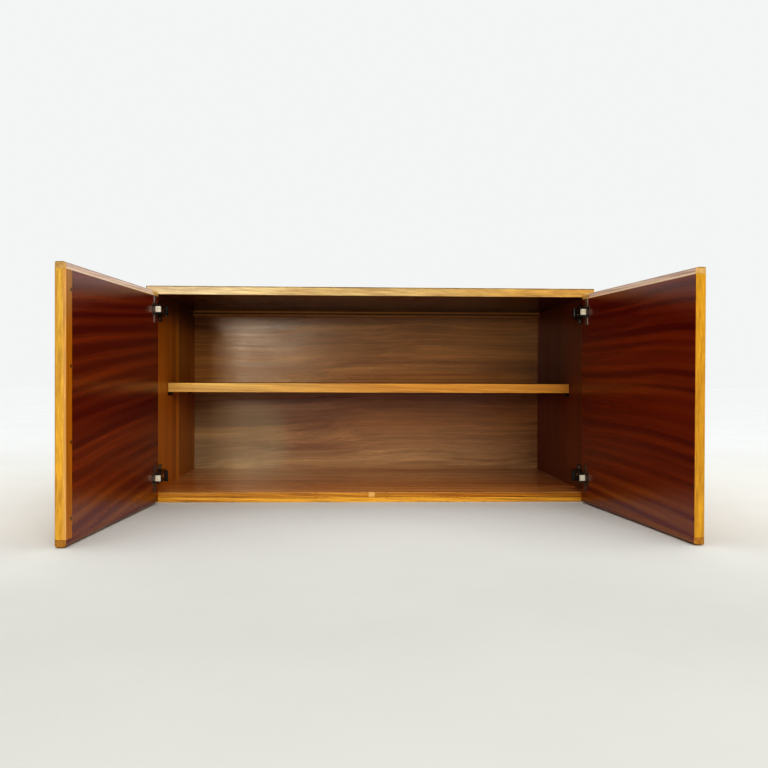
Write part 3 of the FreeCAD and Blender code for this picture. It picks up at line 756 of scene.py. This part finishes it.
def nylon_material(side, tone, seat_shade):
    """Moulded ivory nylon of one door's blocks: translucent, yellowed, and with painted shade where it is
    seated.
    """
    material, nodes, shader = new_material(f"{side}_ivory_nylon")
    place = board_place(f"{side}_hinge_blocks", side=side)
    point, vector, _ = board_coordinates(nodes, place)
    cloud = nodes.noise(point, even(110.0), 4.0, 0.6)
    speck = nodes.noise(point, even(1400.0))
    aged = [channel * share for channel, share in zip(tone, YELLOWED)]
    shade = nodes.mix(nodes.span(cloud, *YELLOWED_STEP), tone, aged)
    inward = place.turn @ door_inward(side)
    proud = nodes.times(nodes.parts(vector)[Y], math.copysign(1.0, inward.y))
    # Painted shade: the block turns grey towards its seat on the door.
    seat = nodes.span(proud, place.half.y - SEAT_TOP, place.half.y - SEAT_BLUR_END, 1.0, 0.0)
    shade = nodes.mix(seat, shade, seat_shade)
    rough = nodes.plus(NYLON_ROUGHNESS, nodes.times(cloud, NYLON_UNEVEN))
    finish_surface(nodes, shader, shade, rough, speck, NYLON_BUMP)
    shader.inputs["Subsurface Weight"].default_value = NYLON_GLOW
    shader.inputs["Subsurface Scale"].default_value = NYLON_GLOW_REACH
    return material


# Boards and doors

# Middle of the painted sheen on the back panel, across and up.
SHEEN_ACROSS, SHEEN_UP = -0.38, 0.10
GROOVE_RIM = 0.0042


class CABINET_OT_carcass(bpy.types.Operator):
    """Veneer the top, bottom and side boards"""

    bl_idname = "cabinet.carcass"
    bl_label = "Carcass boards"

    def execute(self, context):
        wood = woods()
        rear = Face(BACKWARD, wood.core, RAW_FIGURE)
        ends = [Face(outward, wood.outside, LIPPING_FIGURE, True) for outward in (LEFTWARD, RIGHTWARD)]
        top = [Face(DOWN, wood.top_inside, FLOOR_FIGURE), rear, *ends]
        coat_board("top_panel", wood.outside, OUTER_FIGURE, seed=1, faces=top, gloss=DULL_GLOSS)
        below = [Face(DOWN, wood.outside, OUTER_FIGURE), rear, *ends]
        # Painted sheen: the rear half of the bottom board turns paler and greyer, for its reflection of the
        # back panel.
        lighter_fades = [Fade(Y, *FLOOR_REAR_SHEEN, wood.floor_rear_sheen)]
        coat_board("bottom_panel", wood.floor, FLOOR_FIGURE, seed=5, faces=below, fades=lighter_fades, gloss=0.6)
        # Inside the left side: a light stripe, a rear half of its own tone, and painted shade at the upper
        # end under the top.
        stripe = [Fade(Y, *LEFT_STRIPE, wood.left_stripe), Fade(Y, *LEFT_STRIPE_END, wood.left_rear),
                  Fade(Z, *LEFT_SHADED_TOP, wood.left_top_shade)]
        left = [Face(LEFTWARD, wood.outside, OUTER_FIGURE), rear]
        coat_board("left_side_panel", wood.left_inside, SIDE_FIGURE, seed=27, grain="Z", faces=left,
                   fades=stripe)
        lighter = [Fade(Y, *RIGHT_LIGHTER, wood.right_rear)]
        right = [Face(RIGHTWARD, wood.outside, OUTER_FIGURE), rear]
        coat_board("right_side_panel", wood.right_inside, SIDE_FIGURE, seed=30, grain="Z", faces=right,
                   fades=lighter, gloss=DULL_GLOSS)
        return {"FINISHED"}


class CABINET_OT_back(bpy.types.Operator):
    """Finish the back panel, the grooved rail and the dowels"""

    bl_idname = "cabinet.back"
    bl_label = "Back panel and rail"

    def execute(self, context):
        wood = woods()
        rear = [Face(BACKWARD, wood.back_rear, RAW_FIGURE)]
        # The back panel turns lighter towards the right, and its lower end gets painted light, paler and
        # greyer, for bounce light and sheen from below.
        lighter_fades = [Fade(X, *BACK_LIGHTER, wood.back_right), Fade(Z, *BACK_LOW_LIGHT, wood.back_low_light)]
        place = board_place("back_panel")
        # Painted sheen: a soft grey disc low on the left of the back panel.
        centre = (SHEEN_ACROSS, place.centre.y - place.half.y, SHEEN_UP)
        sheen_spot = [Spot(centre, radius=0.19, tone=wood.back_sheen, amount=0.28, direction=FORWARD)]
        coat_board("back_panel", wood.back, BACK_FIGURE, seed=14, faces=rear, fades=lighter_fades, spots=sheen_spot,
                   wear=0.2, gloss=0.5, depth=OPEN_BUMP)
        # Painted shade in the rail's groove, and painted highlights along its two rims.
        groove = board_place("back_rail").centre.z
        lines = [dirt_and_shade(Z, groove, width=0.0022, amount=0.85)]
        for rim in (groove - GROOVE_RIM, groove + GROOVE_RIM):
            lines.append(Line(Z, rim, width=0.0016, tone=wood.shelf_edge, amount=0.6, direction=FORWARD))
        coat_board("back_rail", wood.rail, SIDE_FIGURE, seed=17, lines=lines)
        coat_board("carcass_dowels", wood.dowel, RAW_FIGURE, seed=19, gloss=DULL_GLOSS)
        return {"FINISHED"}


class CABINET_OT_carcass_lippings(bpy.types.Operator):
    """Finish the front lippings of the carcass"""

    bl_idname = "cabinet.carcass_lippings"
    bl_label = "Carcass lippings"

    def execute(self, context):
        wood = woods()
        self.coat_top(wood)
        self.coat_bottom(wood)
        for seed, side in enumerate(SIDES, 27):
            coat_board(f"{side}_side_lipping", wood.side_edge, LIPPING_FIGURE, seed, grain="Z")
        return {"FINISHED"}

    def coat_top(self, wood):
        """Lipping along the top, pale at the left, with painted shade deepening towards the right end and
        dark lines along two edges.
        """
        place = board_place("top_front_lipping")
        top = place.centre.z + place.half.z
        end = place.centre.x - place.half.x
        dark = [dirt_and_shade(Z, top - 0.0006, width=0.0016, amount=0.8),
                dirt_and_shade(X, end + 0.0006, width=0.0016, amount=0.7)]
        # Painted shade deepening from the middle of the top lipping to its right end.
        shaded_towards_right = [Fade(X, *TOP_EDGE_SHADE_BEGINS, wood.top_edge_middle_shade),
                  Fade(X, *TOP_EDGE_SHADE_DEEPENS, wood.top_edge_right_shade)]
        coat_board("top_front_lipping", wood.top_edge, FLECK_FIGURE, seed=21, fades=shaded_towards_right, lines=dark)

    def coat_bottom(self, wood):
        """Two strips along the bottom, with a dirty seam between them, a rubbed place in the middle and
        painted shade at the right end.
        """
        upper = board_place("bottom_lipping_upper")
        low, high = upper.centre.z - upper.half.z, upper.centre.z + upper.half.z
        seam = dirt_and_shade(Z, low, width=0.0010, amount=0.30)
        rubbed = Line(Z, high, width=0.0012, tone=wood.bare, amount=0.28, direction=FORWARD)
        patch = Line(X, 0.0, width=0.0078, tone=wood.bottom_patch, amount=0.7)
        # Painted shade: both bottom strips are darkened towards the right end.
        shaded_right = [Fade(X, *BOTTOM_EDGE_SHADED, wood.bottom_right_shade)]
        coat_board("bottom_lipping_upper", wood.bottom_upper, BOTTOM_FIGURE, seed=23, fades=shaded_right,
                   lines=[patch, rubbed, seam], chips=0.9)
        shaded_right = [Fade(X, *BOTTOM_EDGE_SHADED, wood.bottom_lower_right_shade)]
        coat_board("bottom_lipping_lower", wood.bottom_lower, BOTTOM_FIGURE, seed=25, fades=shaded_right,
                   lines=[seam], chips=0.95)


class CABINET_OT_shelf(bpy.types.Operator):
    """Finish the loose shelf and its lipping"""

    bl_idname = "cabinet.shelf"
    bl_label = "Shelf"

    def execute(self, context):
        wood = woods()
        coat_board("shelf_panel", wood.floor, FLOOR_FIGURE, seed=31)
        # Painted shade towards the right end of the shelf lipping.
        shelf_shaded_right = [Fade(X, *SHELF_EDGE_SHADED, wood.shelf_edge_right_shade)]
        coat_board("shelf_front_lipping", wood.shelf_edge, LIPPING_FIGURE, seed=33, fades=shelf_shaded_right)
        return {"FINISHED"}


class CABINET_OT_doors(bpy.types.Operator):
    """Finish the veneers, cores and lippings of both doors"""

    bl_idname = "cabinet.doors"
    bl_label = "Doors"

    def execute(self, context):
        wood = woods()
        edges = {"left": (wood.left_edge, wood.left_edge_top), "right": (wood.door_edge, wood.door_edge_top)}
        for side in SIDES:
            seed, slope, ripple = DOOR_GRAINS[side]
            door = f"{side}_door_"
            inward = door_inward(side)
            inner = DOOR_FIGURE._replace(slope=slope, ripple=ripple)
            # Painted reflection: the door inside turns warmer and paler at its lower end, for the floor seen
            # in its gloss.
            low_sheen = [Fade(Z, *DOOR_INSIDE_SHEEN, wood.door_low_sheen)]
            coat_board(door + "inner_veneer", wood.door_inside, inner, seed, side=side, fades=low_sheen,
                       wear=0.0, gloss=0.55, depth=SMOOTH_BUMP)
            coat_board(door + "outer_veneer", wood.door_outside, OUTER_FIGURE, seed + 1, side=side)
            coat_board(door + "core", wood.core, RAW_FIGURE, seed + 2, side=side, gloss=DULL_GLOSS)
            front = Face(-inward, wood.door_outside, LIPPING_FIGURE)
            self.coat_top(wood, side, seed + 3, inward, front)
            self.coat_foot(wood, side, seed + 4, inward, front)
            edge_tone, edge_top = edges[side]
            rise = [Fade(Z, *DOOR_EDGE_RISE, edge_top)]
            for count, edge in enumerate(("hinge", "meeting"), 5):
                coat_board(f"{door}{edge}_lipping", edge_tone, EDGE_FIGURE, seed + count,
                           grain="Z", side=side, fades=rise, faces=[front])
        return {"FINISHED"}

    def coat_top(self, wood, side, seed, inward, front):
        """Lipping along the top: pinkish inside, rubbed below and darkened above with painted shade along
        the top arris, with a pale end.
        """
        name = f"{side}_door_top_lipping"
        place = board_place(name, side=side)
        low, high = place.centre.z - place.half.z, place.centre.z + place.half.z
        lines = [Line(Z, low + 0.0010, width=0.0030, tone=wood.bare, amount=0.85, direction=inward),
                 dirt_and_shade(Z, low, width=0.0009, amount=0.45),
                 # Painted shade along the top arris, on the inner face and on the end.
                 dirt_and_shade(Z, high - 0.0014, width=0.0020, amount=0.70, direction=inward),
                 dirt_and_shade(Z, high - 0.0005, width=0.0014, amount=0.60),
                 Line(Y, DOOR_HINGE_LINE, width=0.055, tone=wood.door_edge_top, amount=0.75,
                      direction=inward)]
        faces = [Face(inward, wood.door_top, LIPPING_FIGURE), front,
                 Face(FORWARD, wood.door_top_end, FLECK_FIGURE)]
        coat_board(name, wood.door_edge_top, LIPPING_FIGURE, seed, side=side, faces=faces, lines=lines)

    def coat_foot(self, wood, side, seed, inward, front):
        """Lipping along the bottom: painted shade on the inside, dark like the veneer, and a brown end."""
        name = f"{side}_door_bottom_lipping"
        place = board_place(name, side=side)
        seam = dirt_and_shade(Z, place.centre.z + place.half.z, width=0.0009, amount=0.45)
        faces = [Face(inward, wood.door_foot_shade, DOOR_FIGURE), front,
                 Face(FORWARD, wood.door_foot_end, FLECK_FIGURE)]
        coat_board(name, wood.door_edge, LIPPING_FIGURE, seed, side=side, faces=faces, lines=[seam],
                   wear=0.0, chips=0.6)


class CABINET_OT_closing_strip(bpy.types.Operator):
    """Finish the closing strip on the left door"""

    bl_idname = "cabinet.closing_strip"
    bl_label = "Closing strip"

    def execute(self, context):
        wood = woods()
        pins = screw_places("left_door_strip_pins", door_inward("left"), Z)
        stains = [Spot(pin.top, radius=0.0042, tone=wood.stain_and_shade, amount=0.9) for pin in pins]
        coat_board("left_door_closing_strip", wood.strip, LIPPING_FIGURE, seed=61, grain="Z", side="left",
                   faces=[Face(FORWARD, wood.strip_front, LIPPING_FIGURE)],
                   fades=[Fade(Z, *STRIP_TAN, wood.strip_top)], spots=stains)
        return {"FINISHED"}


# Hinges and screws

class CABINET_OT_hinges(bpy.types.Operator):
    """Finish the hinges, pivot pins, shelf pins and back panel pins"""

    bl_idname = "cabinet.hinges"
    bl_label = "Hinges and pins"

    def execute(self, context):
        metal = metals()
        black = metal_material("black_metal", metal.black, metallic=0.0, roughness=0.24, scuff=0.5)
        bronze = metal_material("bronze_metal", metal.bronze, metallic=0.5, roughness=0.40,
                                edge=metal.flange_edge_highlight)
        steel = metal_material("bright_steel", metal.steel, metallic=1.0, roughness=0.32)
        for side in SIDES:
            for piece in ("hinge_plates", "hinge_arms", "hinge_links", "arm_pins"):
                paint(f"{side}_{piece}", black)
            paint(f"{side}_hinge_cups", bronze)
            paint(f"{side}_hinge_blocks", nylon_material(side, metal.nylon, metal.nylon_seat_shade))
            paint(f"{side}_cup_pins", steel)
        for name in ("shelf_pins", "left_door_strip_pins"):
            paint(name, black)
        paint("back_panel_pins", steel)
        return {"FINISHED"}


Screw = namedtuple("Screw", "top axis radius shank head depth")

SCREW_GAP = 0.005
SHANK_PART = 0.3
RIM_PART = 0.97
CROWN_PART, CREST_PART = 0.90, 0.55
CREST_DROP, SHOULDER_DROP, TAPER_START = 0.25, 1.5, 0.85
SCREW_STEPS = 24
MERGE_GAP, CUT_GAP = 1e-6, 1e-7
UPWARD = 0.5
SORTING = Vector((1.0, 37.0, 1361.0))


def screw_places(name, axis, along):
    """Head tops and sizes of the separate screws or pins in one CAD node, found along one part axis."""
    points = sorted(node_points(name), key=lambda point: point[along])
    groups = [[points[0]]]
    for point in points[1:]:
        if point[along] - groups[-1][-1][along] > SCREW_GAP:
            groups.append([])
        groups[-1].append(point)
    return [measured_screw(group, axis) for group in groups]


def measured_screw(points, axis):
    """Size and place of one screw whose head lies at the far end of the axis."""
    heights = [point.dot(axis) for point in points]
    top, tip = max(heights), min(heights)
    flat = [point - axis * point.dot(axis) for point in points]
    low, high = box_of(flat)
    centre = (low + high) / 2
    spread = [(point - centre).length for point in flat]
    radius = max(spread)
    shank = max(gap for gap, height in zip(spread, heights) if height < tip + (top - tip) * SHANK_PART)
    head = top - min(height for gap, height in zip(spread, heights) if gap > radius * RIM_PART)
    return Screw(centre + axis * top, axis, radius, shank, head, top - tip)


def add_screw(mesh, screw, metal):
    """One screw: rounded head with a cross recess, and a shank that tapers to its tip."""
    rim = screw.radius * CROWN_PART
    outline = [(0.0, 0.0), (rim * CREST_PART, -metal.dome * CREST_DROP), (rim, -metal.dome),
               (screw.radius, -metal.dome * SHOULDER_DROP), (screw.radius, -screw.head),
               (screw.shank, -screw.head), (screw.shank, -screw.depth * TAPER_START),
               (0.0, -screw.depth)]
    part = bmesh.new()
    points = [part.verts.new((across, 0.0, up)) for across, up in outline]
    edges = [part.edges.new(pair) for pair in zip(points, points[1:])]
    bmesh.ops.spin(part, geom=points + edges, cent=(0, 0, 0), axis=(0, 0, 1), angle=2 * math.pi,
                   steps=SCREW_STEPS, use_merge=True)
    bmesh.ops.remove_doubles(part, verts=part.verts, dist=MERGE_GAP)
    bmesh.ops.recalc_face_normals(part, faces=part.faces)
    put_in_order(part)
    press_cross(part, metal)
    put_in_order(part)
    turn = UP.rotation_difference(screw.axis).to_matrix().to_4x4()
    part.transform(Matrix.Translation(screw.top) @ turn)
    finished = bpy.data.meshes.new("screw")
    part.to_mesh(finished)
    part.free()
    mesh.from_mesh(finished)
    bpy.data.meshes.remove(finished)


def place_number(element):
    """A number of its own for the middle of each edge or face of a screw."""
    middle = sum((vert.co for vert in element.verts), Vector()) / len(element.verts)
    return middle.dot(SORTING)


def put_in_order(part):
    """Sorts edges and faces by place, because spin and extrude leave them in another order each run."""
    part.edges.sort(key=place_number)
    part.faces.sort(key=place_number)


def press_cross(part, metal):
    """Presses a cross recess into the top of a screw head."""
    wide, reach = metal.recess_width / 2, metal.recess_reach
    for axis in (Vector((1, 0, 0)), Vector((0, 1, 0))):
        for offset in (-reach, -wide, wide, reach):
            crown = [face for face in part.faces if face.normal.z > UPWARD]
            edges = dict.fromkeys(edge for face in crown for edge in face.edges)
            verts = dict.fromkeys(vert for face in crown for vert in face.verts)
            bmesh.ops.bisect_plane(part, geom=[*crown, *edges, *verts], dist=CUT_GAP,
                                   plane_co=axis * offset, plane_no=axis)
    cross = []
    for face in part.faces:
        middle = face.calc_center_median()
        narrow, far = sorted((abs(middle.x), abs(middle.y)))
        if face.normal.z > UPWARD and narrow < wide and far < reach:
            cross.append(face)
    pressed = bmesh.ops.extrude_face_region(part, geom=cross)["geom"]
    floor = [item for item in pressed if isinstance(item, bmesh.types.BMVert)]
    bmesh.ops.translate(part, verts=floor, vec=(0, 0, -metal.recess_depth))
    bmesh.ops.delete(part, geom=[face for face in cross if face.is_valid], context="FACES")


def add_piece(name, mesh, material):
    """Makes an object of a finished bmesh."""
    data = bpy.data.meshes.new(name)
    mesh.to_mesh(data)
    mesh.free()
    data.materials.append(material)
    piece = bpy.data.objects.new(name, data)
    bpy.context.scene.collection.objects.link(piece)
    return piece


def screw_set(name, axis, along, body, material):
    """Screws that stand for one CAD node of plain screws."""
    mesh = bmesh.new()
    for screw in screw_places(name, axis, along):
        add_screw(mesh, screw, metals())
    piece = add_piece(name + "_crossed", mesh, material)
    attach(piece, body)
    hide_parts(name)


class CABINET_OT_screws(bpy.types.Operator):
    """Make the screws with cross recesses"""

    bl_idname = "cabinet.screws"
    bl_label = "Screws"

    def execute(self, context):
        steel = bpy.data.materials["bright_steel"]
        bronze = bpy.data.materials["bronze_metal"]
        for side, inward in zip(SIDES, (Vector(RIGHTWARD), Vector(LEFTWARD))):
            for kind in ("plate_screws", "arm_screws"):
                screw_set(f"{side}_{kind}", inward, Z, "carcass", steel)
            screw_set(f"{side}_cup_screws", door_inward(side), Z, f"{side}_door", bronze)
        screw_set("rail_screws", -UP, X, "carcass", steel)
        return {"FINISHED"}


# Stage

AIM = (0.0, -0.1, 0.25)
KEY_SIZE, KEY_PLACE = (1.6, 1.0), (1.10, -4.30, 1.20)
WINDOW_SIZE, WINDOW_PLACE = (0.4, 0.28), (-0.91, -4.60, 0.69)
AIR_AROUND, AIR_RISE = (-0.35, 0.35), (0.25, 0.85)
FLOOR_NEAR_LIT, FLOOR_BEHIND, FLOOR_BEYOND_LIT = (-1.3, -0.4), (0.3, 1.6), (-3.6, -1.8)
FLOOR_ROUGHNESS, MOTTLE, MOTTLE_LEAST = 0.85, 0.10, 0.95
SENSOR_WIDTH = 36.0


def floor_material(studio):
    """Pale plain floor with a faint mottle, paler around the cabinet and far from it; the paler floor near
    the cabinet and far in front is painted light.
    """
    material, nodes, shader = new_material("studio_floor")
    source = nodes.add("TexCoord").outputs["Object"]
    depth = nodes.parts(source)[Y]
    # Painted light: paler around the cabinet, against its shade, and again far in front, where the lamps
    # reach little; the far tone also lies behind.
    tone = nodes.mix(nodes.span(depth, *FLOOR_NEAR_LIT), studio.floor_tone, studio.floor_near_lit)
    tone = nodes.mix(nodes.span(depth, *FLOOR_BEHIND), tone, studio.floor_far)
    tone = nodes.mix(nodes.span(depth, *FLOOR_BEYOND_LIT), studio.floor_far, tone)
    cloud = nodes.noise(source, even(3.0), 4.0, 0.6)
    level = nodes.plus(nodes.times(cloud, MOTTLE), MOTTLE_LEAST)
    grit = nodes.noise(source, even(220.0))
    finish_surface(nodes, shader, nodes.scaled(tone, level), FLOOR_ROUGHNESS, grit, FLOOR_BUMP)
    return material


def add_floor(studio):
    """The floor that the cabinet stands on."""
    mesh = bmesh.new()
    bmesh.ops.create_grid(mesh, x_segments=1, y_segments=1, size=studio.floor_reach)
    floor = add_piece("studio_floor", mesh, floor_material(studio))


def add_soft_light(name, watts, tone, size, place, mirrored):
    """One large rectangular light that looks at the cabinet, seen in gloss or not."""
    data = bpy.data.lights.new(name, "AREA")
    data.shape = "RECTANGLE"
    data.size, data.size_y = size
    data.energy = watts
    data.color = tone
    light = bpy.data.objects.new(name, data)
    light.visible_glossy = mirrored
    light.location = place
    light.rotation_euler = (Vector(AIM) - Vector(place)).to_track_quat("-Z", "Y").to_euler()
    bpy.context.scene.collection.objects.link(light)


def add_surroundings(studio):
    """Pale surroundings: bright behind and above, dimmer in front, and one even tone as seen directly."""
    world = bpy.data.worlds.new("studio_air")
    world.use_nodes = True
    nodes = Nodes(world.node_tree)
    ground = world.node_tree.nodes["Background"]
    _, depth, height = nodes.parts(nodes.add("TexCoord").outputs["Generated"])
    level = nodes.span(depth, *AIR_AROUND, studio.air_front, studio.air_behind)
    level = nodes.blend(nodes.span(height, *AIR_RISE), level, studio.air_above)
    seen = nodes.add("LightPath").outputs["Is Camera Ray"]
    nodes.feed(ground.inputs["Strength"], nodes.blend(seen, level, studio.air_seen))
    ground.inputs["Color"].default_value = (*studio.air_tone, 1.0)
    bpy.context.scene.world = world


def add_camera(studio):
    """Camera at the reference view."""
    data = bpy.data.cameras.new("camera")
    data.sensor_width = SENSOR_WIDTH
    data.lens = studio.camera_lens
    camera = bpy.data.objects.new("camera", data)
    turn = Matrix.Rotation(studio.camera_turn, 4, "Z") @ Matrix.Rotation(QUARTER - studio.camera_dip, 4, "X")
    place = Matrix.Translation((studio.camera_x, studio.camera_y, studio.camera_z))
    camera.matrix_world = place @ turn @ Matrix.Rotation(studio.camera_roll, 4, "Z")
    bpy.context.scene.collection.objects.link(camera)
    bpy.context.scene.camera = camera


class CABINET_OT_stage(bpy.types.Operator):
    """Make the floor, the soft lights and the camera"""

    bl_idname = "cabinet.stage"
    bl_label = "Studio"

    def execute(self, context):
        studio = context.scene.cabinet_studio
        add_floor(studio)
        add_surroundings(studio)
        add_soft_light("key", studio.key_power, studio.key_tone, KEY_SIZE, KEY_PLACE, mirrored=False)
        add_soft_light("window", studio.window_power, studio.window_tone, WINDOW_SIZE, WINDOW_PLACE,
                       mirrored=True)
        add_camera(studio)
        context.scene.view_settings.view_transform = "Standard"
        context.scene.view_settings.look = "High Contrast"
        return {"FINISHED"}


# Panel and registration

STEPS = (CABINET_OT_carcass, CABINET_OT_back, CABINET_OT_carcass_lippings, CABINET_OT_shelf,
         CABINET_OT_doors, CABINET_OT_closing_strip, CABINET_OT_hinges, CABINET_OT_screws, CABINET_OT_stage)


class CABINET_PT_panel(bpy.types.Panel):
    """Settings and steps of the cabinet"""

    bl_idname = "CABINET_PT_panel"
    bl_label = "Cabinet"
    bl_space_type = "VIEW_3D"
    bl_region_type = "UI"
    bl_category = "Cabinet"

    def draw(self, context):
        scene = context.scene
        for settings in (scene.cabinet_woods, scene.cabinet_metals, scene.cabinet_studio):
            box = self.layout.box()
            for name in settings.__annotations__:
                box.prop(settings, name)
        for step in STEPS:
            self.layout.operator(step.bl_idname)


SETTINGS = {"cabinet_woods": CabinetWoods, "cabinet_metals": CabinetMetals, "cabinet_studio": CabinetStudio}
CLASSES = (*SETTINGS.values(), *STEPS, CABINET_PT_panel)


def register():
    """Registers the classes and hangs the settings on the scene."""
    for kind in CLASSES:
        bpy.utils.register_class(kind)
    for name, kind in SETTINGS.items():
        setattr(bpy.types.Scene, name, PointerProperty(type=kind))


def unregister():
    """Takes the settings and classes away again."""
    for name in SETTINGS:
        delattr(bpy.types.Scene, name)
    for kind in reversed(CLASSES):
        bpy.utils.unregister_class(kind)


def main():
    """Runs every step in order."""
    register()
    bpy.ops.cabinet.carcass()
    bpy.ops.cabinet.back()
    bpy.ops.cabinet.carcass_lippings()
    bpy.ops.cabinet.shelf()
    bpy.ops.cabinet.doors()
    bpy.ops.cabinet.closing_strip()
    bpy.ops.cabinet.hinges()
    bpy.ops.cabinet.screws()
    bpy.ops.cabinet.stage()


if __name__ == "__main__":
    main()
